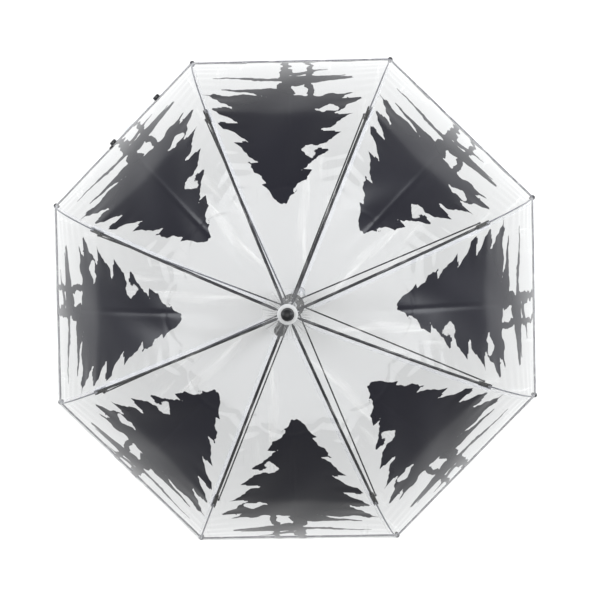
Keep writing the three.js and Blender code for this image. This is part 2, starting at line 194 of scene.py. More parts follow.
# Long drawn lines and darker blotches on metal rods; Stretch squeezes the pattern across the lines
def drawnMetal():
    tree, inside, outside = effectGroup(
        "drawnMetal",
        [("Place", "NodeSocketVector", None), ("Stretch", "NodeSocketVector", (1.0, 1.0, 0.04))],
        [("Height", "NodeSocketFloat"), ("Blotch", "NodeSocketFloat")],
    )
    stretch = newNode(tree, "ShaderNodeVectorMath", operation="MULTIPLY")
    join(tree, inside, "Place", stretch, 0)
    join(tree, inside, "Stretch", stretch, 1)
    lines = newNode(tree, "ShaderNodeTexNoise", {"Scale": 1400.0, "Detail": 3.0, "Roughness": 0.65})
    blotch = newNode(tree, "ShaderNodeTexNoise", {"Scale": 55.0, "Detail": 4.0, "Roughness": 0.6})
    join(tree, stretch, "Vector", lines, "Vector")
    join(tree, inside, "Place", blotch, "Vector")
    join(tree, lines, "Fac", outside, "Height")
    join(tree, blotch, "Fac", outside, "Blotch")
    return tree


# The ink's edge: a signed distance in millimetres, roughened like screen printing
def printedEdge():
    tree, inside, outside = effectGroup(
        "printedEdge",
        [("Distance", "NodeSocketFloat", 0.0), ("Place", "NodeSocketVector", None),
         ("Ragged", "NodeSocketFloat", 1.4)],
        [("Ink", "NodeSocketFloat")],
    )
    noise = newNode(tree, "ShaderNodeTexNoise", {"Scale": 330.0, "Detail": 3.0, "Roughness": 0.6})
    join(tree, inside, "Place", noise, "Vector")
    swing = maths(tree, "SUBTRACT", noise.outputs["Fac"], 0.5)
    push = maths(tree, "MULTIPLY", swing, inside.outputs["Ragged"])
    total = maths(tree, "ADD", inside.outputs["Distance"], push)
    softness = {"From Min": -0.3, "From Max": 0.3, "To Min": 1.0, "To Max": 0.0}
    edge = newNode(tree, "ShaderNodeMapRange", softness)
    tree.links.new(total, edge.inputs["Value"])
    join(tree, edge, "Result", outside, "Ink")
    return tree


# Milky streaks that run down the film, which also serve as painted highlight streaks, and cloudy patches
# where it has been folded
def milkyStreaksAndPaintedHighlights():
    tree, inside, outside = effectGroup(
        "milkyStreaksAndPaintedHighlights",
        [("Place", "NodeSocketVector", None), ("Stretch", "NodeSocketVector", (1.0, 0.07, 1.0))],
        [("StreakAndHighlight", "NodeSocketFloat"), ("Cloud", "NodeSocketFloat"), ("Ripple", "NodeSocketFloat")],
    )
    stretch = newNode(tree, "ShaderNodeVectorMath", operation="MULTIPLY")
    join(tree, inside, "Place", stretch, 0)
    join(tree, inside, "Stretch", stretch, 1)
    drawn = {"Scale": 34.0, "Detail": 5.0, "Roughness": 0.62, "Distortion": 0.25}
    streakAndHighlight = newNode(tree, "ShaderNodeTexNoise", drawn)
    cloud = newNode(tree, "ShaderNodeTexNoise", {"Scale": 5.0, "Detail": 3.0, "Roughness": 0.5})
    ripple = newNode(tree, "ShaderNodeTexNoise", {"Scale": 16.0, "Detail": 2.0, "Roughness": 0.5})
    join(tree, stretch, "Vector", streakAndHighlight, "Vector")
    join(tree, inside, "Place", cloud, "Vector")
    join(tree, inside, "Place", ripple, "Vector")
    # Streak mask: partly milky haze, partly painted highlight streaks in place of reflected light
    thin = newNode(tree, "ShaderNodeMapRange", {"From Min": 0.56, "From Max": 0.74})
    join(tree, streakAndHighlight, "Fac", thin, "Value")
    join(tree, thin, "Result", outside, "StreakAndHighlight")
    join(tree, cloud, "Fac", outside, "Cloud")
    join(tree, ripple, "Fac", outside, "Ripple")
    return tree


grainGroup = mouldedGrain()
metalGroup = drawnMetal()
printGroup = printedEdge()
streakAndHighlightGroup = milkyStreaksAndPaintedHighlights()


def newMaterial(name):
    material = bpy.data.materials.new(name)
    material.use_nodes = True
    tree = material.node_tree
    return material, tree, tree.nodes["Principled BSDF"]


def mixColour(tree, mask, low, high):
    mix = newNode(tree, "ShaderNodeMix", data_type="RGBA")
    tree.links.new(mask, mix.inputs["Factor"])
    # Sockets 6 and 7 are the two colours, and output 2 is the mixed colour
    for index, value in ((6, low), (7, high)):
        if isinstance(value, tuple):
            mix.inputs[index].default_value = (*value, 1)
        else:
            tree.links.new(value, mix.inputs[index])
    return mix.outputs[2]


def addBump(tree, shader, height, strength, distance):
    bump = newNode(tree, "ShaderNodeBump", {"Strength": strength, "Distance": distance})
    tree.links.new(height, bump.inputs["Height"])
    join(tree, bump, "Normal", shader, "Normal")


def plasticFinish(name, colour, worn, roughness, grain=900.0, depth=0.00006, gloss=0.5):
    material, tree, shader = newMaterial(name)
    shader.inputs["Specular IOR Level"].default_value = gloss
    place = newNode(tree, "ShaderNodeTexCoord")
    effect = placeGroup(tree, grainGroup, Grain=grain)
    join(tree, place, "Object", effect, "Place")
    tree.links.new(mixColour(tree, effect.outputs["Mark"], colour, worn), shader.inputs["Base Color"])
    rough = newNode(tree, "ShaderNodeMapRange", {"To Min": roughness, "To Max": roughness + 0.16})
    join(tree, effect, "Mark", rough, "Value")
    join(tree, rough, "Result", shader, "Roughness")
    addBump(tree, shader, effect.outputs["Height"], 0.35, depth)
    return material


# Drawn or rolled metal. Below the height mouldedBelow the piece is a black moulding instead
def metalFinish(name, colour, dull, roughness, stretch=(1.0, 1.0, 0.04), metallic=1.0, mouldedBelow=None):
    material, tree, shader = newMaterial(name)
    shader.inputs["Metallic"].default_value = metallic
    place = newNode(tree, "ShaderNodeTexCoord")
    effect = placeGroup(tree, metalGroup, Stretch=stretch)
    join(tree, place, "Object", effect, "Place")
    tone = mixColour(tree, effect.outputs["Blotch"], colour, dull)
    if mouldedBelow is not None:
        apart = newNode(tree, "ShaderNodeSeparateXYZ")
        join(tree, place, "Object", apart, "Vector")
        moulded = maths(tree, "LESS_THAN", apart.outputs["Z"], mouldedBelow)
        tone = mixColour(tree, moulded, tone, mouldedBlack)
        tree.links.new(maths(tree, "SUBTRACT", metallic, moulded, clamp=True), shader.inputs["Metallic"])
    tree.links.new(tone, shader.inputs["Base Color"])
    rough = newNode(tree, "ShaderNodeMapRange", {"To Min": roughness, "To Max": roughness + 0.2})
    join(tree, effect, "Height", rough, "Value")
    join(tree, rough, "Result", shader, "Roughness")
    addBump(tree, shader, effect.outputs["Height"], 0.25, 0.00004)
    return material


# Clear sheet: how solid it looks grows with the angle, as gloss does, and with folds and milky streaks; the
# streaks are partly haze and partly painted highlight
def clearFinish(name, tint, solid, hazeAndHighlight, roughness, printed=False, rim=0.5):
    material, tree, shader = newMaterial(name)
    shader.inputs["Specular IOR Level"].default_value = 0.26
    place = newNode(tree, "ShaderNodeTexCoord")
    flat = newNode(tree, "ShaderNodeUVMap", uv_map="film")
    streaksAndHighlights = placeGroup(tree, streakAndHighlightGroup)
    join(tree, flat, "UV", streaksAndHighlights, "Place")
    glance = newNode(tree, "ShaderNodeLayerWeight", {"Blend": 0.32})
    # Along the streaks the film is made more solid: partly milky haze, partly painted highlight
    hazeAndHighlightCover = maths(tree, "MULTIPLY_ADD", streaksAndHighlights.outputs["StreakAndHighlight"], hazeAndHighlight, solid)
    cloudy = maths(tree, "MULTIPLY_ADD", streaksAndHighlights.outputs["Cloud"], 0.08, hazeAndHighlightCover)
    cover = maths(tree, "MULTIPLY_ADD", glance.outputs["Fresnel"], rim, cloudy, clamp=True)
    # Painted highlight: along the streaks the film's colour goes to near white, standing for reflected light
    # as well as milky haze
    film = mixColour(tree, streaksAndHighlights.outputs["StreakAndHighlight"], tint, (0.9, 0.9, 0.89))
    rough = newNode(tree, "ShaderNodeMapRange", {"To Min": roughness, "To Max": roughness + 0.12})
    join(tree, streaksAndHighlights, "Cloud", rough, "Value")
    if printed:
        distance = newNode(tree, "ShaderNodeAttribute", attribute_name="ink")
        ink = placeGroup(tree, printGroup)
        join(tree, distance, "Fac", ink, "Distance")
        join(tree, place, "Object", ink, "Place")
        inked = maths(tree, "MULTIPLY", ink.outputs["Ink"], inkSetup["cover"])
        cover = maths(tree, "MAXIMUM", cover, inked)
        inkTone = mixColour(tree, streaksAndHighlights.outputs["Cloud"], inkSetup["tone"], inkSetup["toneFaded"])
        film = mixColour(tree, ink.outputs["Ink"], film, inkTone)
        matt = maths(tree, "MULTIPLY_ADD", ink.outputs["Ink"], inkSetup["mattness"], rough.outputs["Result"])
        tree.links.new(matt, shader.inputs["Roughness"])
    else:
        join(tree, rough, "Result", shader, "Roughness")
    tree.links.new(film, shader.inputs["Base Color"])
    tree.links.new(cover, shader.inputs["Alpha"])
    addBump(tree, shader, streaksAndHighlights.outputs["Ripple"], 0.22, 0.0016)
    return material


inkSetup = {
    "tone": (0.005, 0.005, 0.0085),
    "toneFaded": (0.013, 0.013, 0.021),
    "mattness": 0.12,
    "cover": 0.993,
}

mouldedBlack = (0.012, 0.012, 0.014)
tipCapTop = apexHeight - 0.4446
evenStretch = (0.1, 0.1, 0.1)

finishes = {
    "blackPlastic": plasticFinish("black_moulding", mouldedBlack, (0.03, 0.03, 0.033), 0.3),
    "grip": plasticFinish("black_grip", (0.013, 0.013, 0.015), (0.02, 0.02, 0.022), 0.26,
                          grain=420.0, depth=0.0001),
    "ferruleBlack": plasticFinish("black_ferrule", (0.008, 0.008, 0.009), (0.016, 0.016, 0.018), 0.42,
                                  gloss=0.25),
    "clearPlastic": clearFinish("clear_collar", (0.78, 0.79, 0.8), 0.4, 0.25, 0.1),
    "darkSteel": metalFinish("dark_steel", (0.018, 0.019, 0.031), (0.009, 0.0095, 0.016), 0.4,
                             stretch=evenStretch, metallic=0.35),
    "brightWire": metalFinish("bright_wire", (0.4, 0.41, 0.46), (0.26, 0.27, 0.31), 0.28,
                              stretch=evenStretch),
    "cappedWire": metalFinish("capped_wire", (0.34, 0.35, 0.4), (0.22, 0.23, 0.27), 0.3,
                              stretch=evenStretch, mouldedBelow=tipCapTop),
    "paleSteel": metalFinish("drawn_tube", (0.66, 0.67, 0.69), (0.5, 0.51, 0.53), 0.2),
    "springSteel": metalFinish("spring_steel", (0.5, 0.5, 0.52), (0.36, 0.36, 0.38), 0.3),
    "film": clearFinish("printed_film", (0.075, 0.075, 0.07), 0.22, 0.2, 0.1, printed=True, rim=0.12),
    "weld": clearFinish("weld_band", (0.6, 0.62, 0.7), 0.13, 0.2, 0.16, rim=0.1),
    "weldLower": clearFinish("weld_line", (0.56, 0.58, 0.66), 0.04, 0.1, 0.16, rim=0.06),
    "hem": clearFinish("hem_fold", (0.17, 0.17, 0.2), 0.85, 0.12, 0.22, rim=0.1),
    "patch": clearFinish("crown_patch", (0.6, 0.61, 0.62), 0.05, 0.14, 0.12, rim=0.15),
    "strapFilm": clearFinish("strap_film", (0.6, 0.66, 0.74), 0.5, 0.3, 0.16),
}
print("finishes made:", len(finishes))


# Finishes for the pieces that stay as the CAD has them

def nodeFinish(node):
    for start, finish in (
        ("rib_upper", "darkSteel"), ("stretcher", "darkSteel"), ("rib_lower", "cappedWire"),
        ("connector", "blackPlastic"), ("shaft", "paleSteel"), ("stop_ring", "paleSteel"),
        ("handle_collar", "paleSteel"), ("top_catch", "springSteel"), ("bottom_catch", "springSteel"),
        ("canopy_washer", "clearPlastic"), ("handle", "grip"), ("runner", "blackPlastic"),
        ("crown_notch", "blackPlastic"), ("ferrule", "ferruleBlack"),
    ):
        if node.startswith(start):
            return finishes[finish]
    return finishes["blackPlastic"]


for nodeName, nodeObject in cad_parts.items():
    nodeObject.data.materials.clear()
    nodeObject.data.materials.append(nodeFinish(nodeName))


# Mesh helpers

# A grid of points (rows, columns, 3) becomes a mesh; wrapped grids close on themselves across the columns
def gridMesh(name, points, uv=None, wrap=False, caps=False, ink=None):
    rows, columns = points.shape[:2]
    index = np.arange(rows * columns).reshape(rows, columns)
    if wrap:
        index = np.concatenate([index, index[:, :1]], axis=1)
    faces = np.stack([index[:-1, :-1], index[:-1, 1:], index[1:, 1:], index[1:, :-1]], axis=-1).reshape(-1, 4)
    faceList = faces.tolist()
    if caps:
        faceList += [index[0, :columns][::-1].tolist(), index[-1, :columns].tolist()]
    mesh = bpy.data.meshes.new(name)
    mesh.from_pydata(points.reshape(-1, 3), [], faceList)
    mesh.polygons.foreach_set("use_smooth", np.ones(len(mesh.polygons), bool))
    corners = np.zeros(len(mesh.loops), np.int32)
    mesh.loops.foreach_get("vertex_index", corners)
    layer = mesh.uv_layers.new(name="film")
    flat = points[..., :2] if uv is None else uv
    layer.data.foreach_set("uv", flat.reshape(-1, 2)[corners].astype(np.float32).ravel())
    if ink is not None:
        mesh.attributes.new("ink", "FLOAT", "POINT").data.foreach_set("value", ink.astype(np.float32).ravel())
    mesh.update()
    piece = bpy.data.objects.new(name, mesh)
    scene.collection.objects.link(piece)
    return piece


def turnedAbout(points, azimuth):
    cosine, sine = math.cos(azimuth), math.sin(azimuth)
    return points @ np.array([[cosine, sine, 0], [-sine, cosine, 0], [0, 0, 1]])


# A round section carried along a path: at each point two unit vectors across it hold the ring
def tubeAlong(path, radii, sides=16):
    path = np.asarray(path, float)
    heading = np.gradient(path, axis=0)
    heading /= np.linalg.norm(heading, axis=1, keepdims=True)
    guide = np.array([0, 0, 1.0]) if abs(heading[0, 2]) < 0.9 else np.array([0, 1.0, 0])
    across = np.cross(heading, guide)
    across /= np.linalg.norm(across, axis=1, keepdims=True)
    over = np.cross(across, heading)
    angle = np.linspace(0, 2 * math.pi, sides, endpoint=False)
    ring = across[:, None] * np.cos(angle)[None, :, None] + over[:, None] * np.sin(angle)[None, :, None]
    return path[:, None] + ring * np.asarray(radii, float).reshape(-1, 1, 1)


def finished(piece, finish, body):
    piece.data.materials.append(finishes[finish])
    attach(piece, body)
    return piece


# Canopy film: the line that it follows over a rib, then a gore between two of those lines

canopySetup = {
    "crownPivot": (0.009, -0.010),
    "ribJoint": (0.302, -0.184),
    "ribTip": (0.402, -0.448),
    "upperHalfTurn": 15,
    "lowerHalfTurn": 17,
    "offUpperRod": 0.004,
    "offRim": 0.0024,
    "crownEdge": [(0.007, -0.0019), (0.014, -0.0038)],
    "flareShare": 0.09,
    "hemSetback": 0.004,
    "smoothing": 0.007,
    "lowerLength": 0.287,     # along the lower rib
    "shoulderOut": 0.0031,    # from the joint out to the film's shoulder
    "slack": 0.0085,          # how far the middle of a gore is drawn in between its ribs
    "slackSpread": 0.27,
    "foldDepth": 0.0007,      # the storage creases, along a gore and across it
    "foldWidth": 0.0035,
    "crossFoldShare": 0.8,
    "crossFoldAt": 0.2,
    "crossFoldBow": 0.06,
    "crossFoldWidth": 0.004,
    "pleatDepth": 0.0011,     # gathers round the collar
    "pleatAt": 0.012,
    "pleatSpread": 0.03,
    "edgePucker": 0.00055,
    "puckerLength": 0.027,
    "swell": 0.0009,          # broad unevenness of a taut sheet
    "columns": 121,
    "printedStep": 0.0026,
    "plainStep": 0.007,
    "plainRadius": 150,       # in millimetres; the film is unprinted inside it
    "foldedShare": 0.085,     # what is left of a gore's width when the ribs are down
}


# A circular arc between two points, bulging outwards: its points and its outward unit normals
def ribArc(start, end, halfTurn, share):
    start, end = np.array(start), np.array(end)
    chord = np.linalg.norm(end - start)
    along = (end - start) / chord
    outward = np.array([-along[1], along[0]])
    radius = chord / 2 / math.sin(halfTurn)
    angle = (2 * share - 1) * halfTurn
    run = chord / 2 + radius * np.sin(angle)
    rise = radius * (np.cos(angle) - math.cos(halfTurn))
    points = start + run[:, None] * along + rise[:, None] * outward
    tangent = np.cos(angle)[:, None] * along - np.sin(angle)[:, None] * outward
    return points, np.stack([-tangent[:, 1], tangent[:, 0]], axis=1)


def filmLine(setup):
    upperTurn, lowerTurn = math.radians(setup["upperHalfTurn"]), math.radians(setup["lowerHalfTurn"])
    upper, upperNormal = ribArc(setup["crownPivot"], setup["ribJoint"], upperTurn,
                                np.linspace(setup["flareShare"], 0.995, 90))
    share = np.linspace(0.005, 1 - setup["hemSetback"] / setup["lowerLength"], 90)
    lower, lowerNormal = ribArc(setup["ribJoint"], setup["ribTip"], lowerTurn, share)
    offLower = setup["offUpperRod"] + (setup["offRim"] - setup["offUpperRod"]) * share[:, None]
    line = np.concatenate([np.array(setup["crownEdge"]), upper + setup["offUpperRod"] * upperNormal,
                           lower + offLower * lowerNormal])
    reach = np.concatenate([[0], np.cumsum(np.linalg.norm(np.diff(line, axis=0), axis=1))])
    even = np.linspace(0, reach[-1], 900)
    radius, depth = np.interp(even, reach, line[:, 0]), np.interp(even, reach, line[:, 1])
    step = even[1]
    span = int(3 * setup["smoothing"] / step)
    kernel = np.exp(-0.5 * (np.arange(-span, span + 1) * step / setup["smoothing"]) ** 2)
    kernel /= kernel.sum()

    # Both ends are continued by point reflection, so that smoothing leaves them in place
    def smooth(values):
        before = 2 * values[0] - values[span:0:-1]
        after = 2 * values[-1] - values[-2:-span - 2:-1]
        return np.convolve(np.concatenate([before, values, after]), kernel, "valid")

    return even, smooth(radius), smooth(depth)


lineReach, lineRadius, lineDepth = filmLine(canopySetup)
filmLength = lineReach[-1]
shoulderRadius = canopySetup["ribJoint"][0] + canopySetup["shoulderOut"]
shoulderReach = float(np.interp(shoulderRadius, lineRadius, lineReach))
print("film line", round(filmLength, 4), "m, shoulder at", round(shoulderReach, 4))


def bell(value, centre, width):
    return np.exp(-((value - centre) / width) ** 2)


# A gore in its own frame, X outwards through its middle. Straight from rib to rib at each station,
# then moved along its normal: drawn in between the ribs, creased where it folds, gathered at the collar.
def goreSurface(reach, share, lift=0.0):
    reach, across = np.broadcast_arrays(reach[:, None] if reach.ndim == 1 else reach, np.atleast_2d(share))
    radius = np.interp(reach, lineReach, lineRadius)
    depth = np.interp(reach, lineReach, lineDepth)
    run = np.interp(reach, lineReach, np.gradient(lineRadius, lineReach)) * math.cos(halfStep)
    drop = np.interp(reach, lineReach, np.gradient(lineDepth, lineReach))
    size = np.hypot(run, drop)
    normalOut, normalUp = -drop / size, run / size
    inner = 1 - across ** 2
    calm = 1 - across ** 8
    place = reach / filmLength
    sway = -canopySetup["slack"] * inner * bell(place, 0.5, canopySetup["slackSpread"]) * (1 - place ** 6)
    wide = across * radius * math.sin(halfStep)
    fold = -canopySetup["foldDepth"] * bell(wide, 0, canopySetup["foldWidth"]) * bell(place, 0.45, 0.4)
    bowed = reach + canopySetup["crossFoldBow"] * across ** 2
    crossFold = -canopySetup["foldDepth"] * canopySetup["crossFoldShare"] * inner
    crossFold = crossFold * bell(bowed, canopySetup["crossFoldAt"], canopySetup["crossFoldWidth"])
    gathered = bell(reach, canopySetup["pleatAt"], canopySetup["pleatSpread"])
    pleats = canopySetup["pleatDepth"] * np.cos(across * math.pi * 3) * gathered * calm
    puckerTurn = reach * 2 * math.pi / canopySetup["puckerLength"] + 2 * across
    pucker = canopySetup["edgePucker"] * np.sin(puckerTurn)
    pucker = pucker * np.abs(across) ** 5 * calm * 2
    swell = canopySetup["swell"] * np.sin(place * 21 + 3 * across) * np.sin(across * 5 + place * 9) * inner
    swell = swell * np.minimum(place * 6, 1) * (1 - place ** 8)
    off = sway + fold + crossFold + pleats + pucker + swell + lift
    x = radius * math.cos(halfStep) + off * normalOut
    z = depth + off * normalUp + apexHeight
    return np.stack([x, wide, z], axis=-1), np.stack([wide, reach], axis=-1)


# Print: a stand of conifers made by rule. Every shape is a distance in millimetres, below zero inside it.

printSetup = {
    "seed": 23,
    "tip": 160,              # radius over the rib line where the crown starts, and where it ends
    "foot": 334,
    "halfWidth": 124,
    "taper": 0.8,
    "tiers": 6,
    "tierDepth": 0.34,
    "otherSidePhase": 0.45,  # tiers on the two sides do not line up
    "edgeNoise": 5,
    "edgeNoiseSize": 9,
    "lean": 6,
    "warp": 4.5,
    "warpSize": 15,
    "fineWarp": 1.8,
    "fineSize": 5,
    "gapSize": 30,
    "gapLevel": 0.6,
    "gapSlope": 0.6,
    "trunks": [(6, 8.5), (-30, 5.5)],
    "trunkEnd": 400,
    "boughs": 7,
    "boughHeights": (338, 374),
    "boughReach": (55, 118),
    "shrubs": 4,
    "shrubHeight": 397,
    "shrubSpacing": 58,
    "shrubHalf": 13,
}


# Smooth lattice noise from -1 to 1: random corners blended with an eased weight
def latticeNoise(across, along, scale, seed):
    lattice = np.random.default_rng(seed).uniform(-1, 1, (97, 97))
    u, v = across / scale + 40.0, along / scale + 3.0
    column, row = np.floor(u).astype(int), np.floor(v).astype(int)
    du, dv = u - column, v - row
    du, dv = du * du * (3 - 2 * du), dv * dv * (3 - 2 * dv)
    column, row = column % 96, row % 96
    low = lattice[row, column] * (1 - du) + lattice[row, column + 1] * du
    high = lattice[row + 1, column] * (1 - du) + lattice[row + 1, column + 1] * du
    return low * (1 - dv) + high * dv


def reachOf(radius):
    return float(np.interp(radius / 1000, lineRadius, lineReach)) * 1000


# Distance to a straight limb whose half width changes evenly from one end to the other
def limbDistance(across, along, limb):
    (a0, r0), (a1, r1), w0, w1 = limb
    s0, s1 = reachOf(r0), reachOf(r1)
    da, ds = a1 - a0, s1 - s0
    share = np.clip(((across - a0) * da + (along - s0) * ds) / (da * da + ds * ds), 0, 1)
    return np.hypot(across - a0 - share * da, along - s0 - share * ds) - (w0 + (w1 - w0) * share)


# Boughs leave the trunks to either side in turn, and low shrubs stand along the hem
def printLimbs(setup):
    chance = np.random.default_rng(setup["seed"])
    limbs = [((place, setup["foot"] - 6), (place, setup["trunkEnd"]), half, 0.85 * half)
             for place, half in setup["trunks"]]
    for count in range(setup["boughs"]):
        side = 1 if count % 2 else -1
        height = chance.uniform(*setup["boughHeights"])
        end = side * chance.uniform(*setup["boughReach"])
        limbs.append(((side * 8, height), (end, height + chance.uniform(1, 9)), chance.uniform(8, 15), 1.8))
    for count in range(setup["shrubs"]):
        middle = (count - (setup["shrubs"] - 1) / 2) * setup["shrubSpacing"] + chance.uniform(-8, 8)
        left = (middle - setup["shrubHalf"], setup["shrubHeight"])
        right = (middle + setup["shrubHalf"], setup["shrubHeight"])
        limbs.append((left, right, chance.uniform(7, 11), chance.uniform(6, 10)))
    return limbs


# The crown widens in tiers from its tip to its foot: each tier flares, then steps back in
def crownDistance(across, along, setup):
    first, last = reachOf(setup["tip"]), reachOf(setup["foot"])
    share = np.clip((along - first) / (last - first), 0, 1)
    side = across - setup["lean"]
    phase = np.where(side > 0, 0.0, setup["otherSidePhase"])
    flare = (share * setup["tiers"] + phase) % 1
    width = setup["halfWidth"] * share ** setup["taper"] * (1 - setup["tierDepth"] * (1 - flare))
    ragged = latticeNoise(side * 0, along + 300 * (side > 0), setup["edgeNoiseSize"], setup["seed"] + 5)
    width = width + setup["edgeNoise"] * share * ragged
    return np.maximum((np.abs(side) - width) * 0.8, np.maximum(first - along, along - last))


def treeInk(flat, setup):
    across, along = flat[..., 0] * 1000, flat[..., 1] * 1000
    seed = setup["seed"]
    coarse, fine = setup["warp"], setup["fineWarp"]
    wide, small = setup["warpSize"], setup["fineSize"]
    warpA = across + coarse * latticeNoise(across, along, wide, seed)
    warpA = warpA + fine * latticeNoise(across, along, small, seed + 1)
    warpS = along + coarse * latticeNoise(across, along, wide, seed + 2)
    warpS = warpS + fine * latticeNoise(across, along, small, seed + 3)
    ink = crownDistance(warpA, warpS, setup)
    gaps = latticeNoise(warpA, warpS, setup["gapSize"], seed + 4) - setup["gapLevel"]
    ink = np.maximum(ink, gaps * setup["gapSize"] * setup["gapSlope"])
    for limb in printLimbs(setup):
        ink = np.minimum(ink, limbDistance(warpA, warpS, limb))
    return ink


def steps(start, end, step):
    return np.linspace(start, end, max(int(round((end - start) / step)), 1) + 1)


share = np.linspace(-1, 1, canopySetup["columns"])
plainEnd = reachOf(canopySetup["plainRadius"]) / 1000
upperReach = np.concatenate([steps(0, plainEnd, canopySetup["plainStep"])[:-1],
                             steps(plainEnd, shoulderReach, canopySetup["printedStep"])])
lowerReach = steps(shoulderReach, filmLength, canopySetup["printedStep"])


def foldWith(piece):
    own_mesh(piece)
    return piece


weldSetup = {"start": 0.0022, "width": 0.0054, "lowerWidth": 0.0034, "mostShare": 0.8, "lift": 0.0005,
             "columns": 5}
hemSetup = {"radius": 0.0016, "sides": 8}
patchSetup = {"start": 0.008, "radius": 0.037, "step": 0.0035, "lift": 0.0006}


def goreStrip(name, reach, share, lift, azimuth, ink=None):
    points, flat = goreSurface(reach, share, lift)
    return gridMesh(name, turnedAbout(points, azimuth), uv=flat, ink=ink)


# The welded band lies beside a rib, on the gore that has that rib on its left
def weldBand(name, reach, bandWidth, azimuth):
    width = np.interp(reach, lineReach, lineRadius)[:, None] * math.sin(halfStep)
    inset = weldSetup["start"] + bandWidth * np.linspace(1, 0, weldSetup["columns"])[None, :]
    inset = np.minimum(inset, weldSetup["mostShare"] * width)
    return goreStrip(name, reach, 1 - inset / width, weldSetup["lift"], azimuth)


# The hem is a small round fold that follows the gore's lowest edge
def hemFold(name, azimuth):
    edge = goreSurface(np.array([filmLength - 0.0001, filmLength]), share)[0]
    points = tubeAlong(edge[1], np.full(len(share), hemSetup["radius"]), hemSetup["sides"])
    uv = np.stack([points[..., 1], points[..., 2]], axis=-1)
    return gridMesh(name, turnedAbout(points, azimuth), uv=uv, wrap=True, caps=True)


upperInk = treeInk(goreSurface(upperReach, share)[1], printSetup)
lowerInk = treeInk(goreSurface(lowerReach, share)[1], printSetup)
patchEnd = reachOf(1000 * patchSetup["radius"]) / 1000
patchReach = steps(patchSetup["start"], patchEnd, patchSetup["step"])

for number in range(1, panelCount + 1):
    azimuth = number * ribStep
    upperBody, lowerBody = f"canopy_upper_{number}", f"canopy_lower_{number}"
    upperFilm = goreStrip(f"film_upper_{number}", upperReach, share, 0, azimuth, upperInk)
    lowerFilm = goreStrip(f"film_lower_{number}", lowerReach, share, 0, azimuth, lowerInk)
    finished(upperFilm, "film", upperBody)
    finished(lowerFilm, "film", lowerBody)
    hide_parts(upperBody)
    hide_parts(lowerBody)
    upperWeld = weldBand(f"weld_upper_{number}", upperReach[4:], weldSetup["width"], azimuth)
    lowerWeld = weldBand(f"weld_lower_{number}", lowerReach, weldSetup["lowerWidth"], azimuth)
    finished(upperWeld, "weld", upperBody)
    finished(lowerWeld, "weldLower", lowerBody)
    hem = finished(hemFold(f"hem_{number}", azimuth), "hem", lowerBody)
    patch = goreStrip(f"crown_patch_{number}", patchReach, share[::4], patchSetup["lift"], azimuth)
    finished(patch, "patch", upperBody)
    for piece in (upperFilm, lowerFilm, upperWeld, lowerWeld, hem, patch):
        foldWith(piece)
print("canopy film made, printed rows", len(upperReach) + len(lowerReach))


# Closing strap on the third gore: a film strip along the hem, a rivet cap, the snap's cap and its stud

strapSetup = {
    "gore": 3,
    "start": -0.087,
    "end": 0.028,
    "width": 0.016,
    "hemGap": 0.002,
    "lift": 0.0023,
    "wave": 0.0005,
    "waveRate": 150,
    "waveRise": 30,
    "tailSharpness": 0.98,
    "capRadius": 0.0053,
    "capHeight": 0.0058,
    "capLift": 0.0004,
    "rivetAt": -0.078,
    "capAt": 0.0195,
    "studRadius": 0.0036,
    "studHeight": 0.0022,
    "studLift": 0.0002,
    "studAbove": 0.062,
    "studAt": 0.024,
}


def onGore(across, above, lift, azimuth):
    reach = filmLength - above
    width = np.interp(reach, lineReach, lineRadius) * math.sin(halfStep)
    spots = goreSurface(np.array([reach, reach - 0.002]), np.array([across, across + 0.002]) / width, lift)[0]
    spots = turnedAbout(spots, azimuth)
    off = np.cross(spots[0, 1] - spots[0, 0], spots[1, 0] - spots[0, 0])
    return spots[0, 0], off / np.linalg.norm(off)


# A round cap standing on a spot: its edge follows a rounded profile, and its top is slightly hollow
def capPiece(name, spot, off, radius, height):
    rise = np.array([0, 0, 0.35, 0.75, 0.95, 1.0, 0.97, 0.86, 0.84, 0.84]) * height
    size = np.array([0.02, 1.0, 1.06, 1.04, 0.98, 0.9, 0.8, 0.7, 0.4, 0.02]) * radius
    across = np.cross(off, [0, 0, 1.0])
    across /= np.linalg.norm(across)
    over = np.cross(off, across)
    angle = np.linspace(0, 2 * math.pi, 32, endpoint=False)
    ring = across * np.cos(angle)[:, None] + over * np.sin(angle)[:, None]
    points = spot + rise[:, None, None] * off + size[:, None, None] * ring[None]
    return gridMesh(name, points, wrap=True, caps=True)


def closingStrap(setup):
    azimuth = setup["gore"] * ribStep
    body = "strap"
    along = np.linspace(setup["start"], setup["end"], 70)[None, :]
    half = setup["width"] / 2
    tail = np.clip((along - (setup["end"] - half)) / half, 0, 1)
    halfHere = half * np.sqrt(1 - setup["tailSharpness"] * tail ** 2)
    reach = filmLength - setup["hemGap"] - half + np.linspace(-1, 1, 9)[:, None] * halfHere
    width = np.interp(reach, lineReach, lineRadius) * math.sin(halfStep)
    rise = np.clip((along - setup["start"]) * setup["waveRise"], 0, 1)
    lift = setup["lift"] + setup["wave"] * np.sin(along * setup["waveRate"]) * rise
    strip = finished(goreStrip("strap_film", reach, along / width, lift, azimuth), "strapFilm", body)
    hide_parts("strap")
    middle = setup["hemGap"] + half
    rivetSpot = onGore(setup["rivetAt"], middle, setup["capLift"], azimuth)
    rivet = capPiece("strap_rivet_cap", *rivetSpot, setup["capRadius"], setup["capHeight"])
    finished(rivet, "blackPlastic", body)
    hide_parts("strap_snap")
    capSpot = onGore(setup["capAt"], middle, setup["capLift"], azimuth)
    cap = capPiece("strap_snap_cap", *capSpot, setup["capRadius"], setup["capHeight"])
    finished(cap, "blackPlastic", body)
    studSpot = onGore(setup["studAt"], setup["studAbove"], setup["studLift"], azimuth)
    stud = capPiece("strap_stud", *studSpot, setup["studRadius"], setup["studHeight"])
    finished(stud, "blackPlastic", f"canopy_lower_{setup['gore']}")
    for piece in (strip, rivet, cap, stud):
        foldWith(piece)


closingStrap(strapSetup)
print("strap made")


# Small metal and moulded parts on the frame

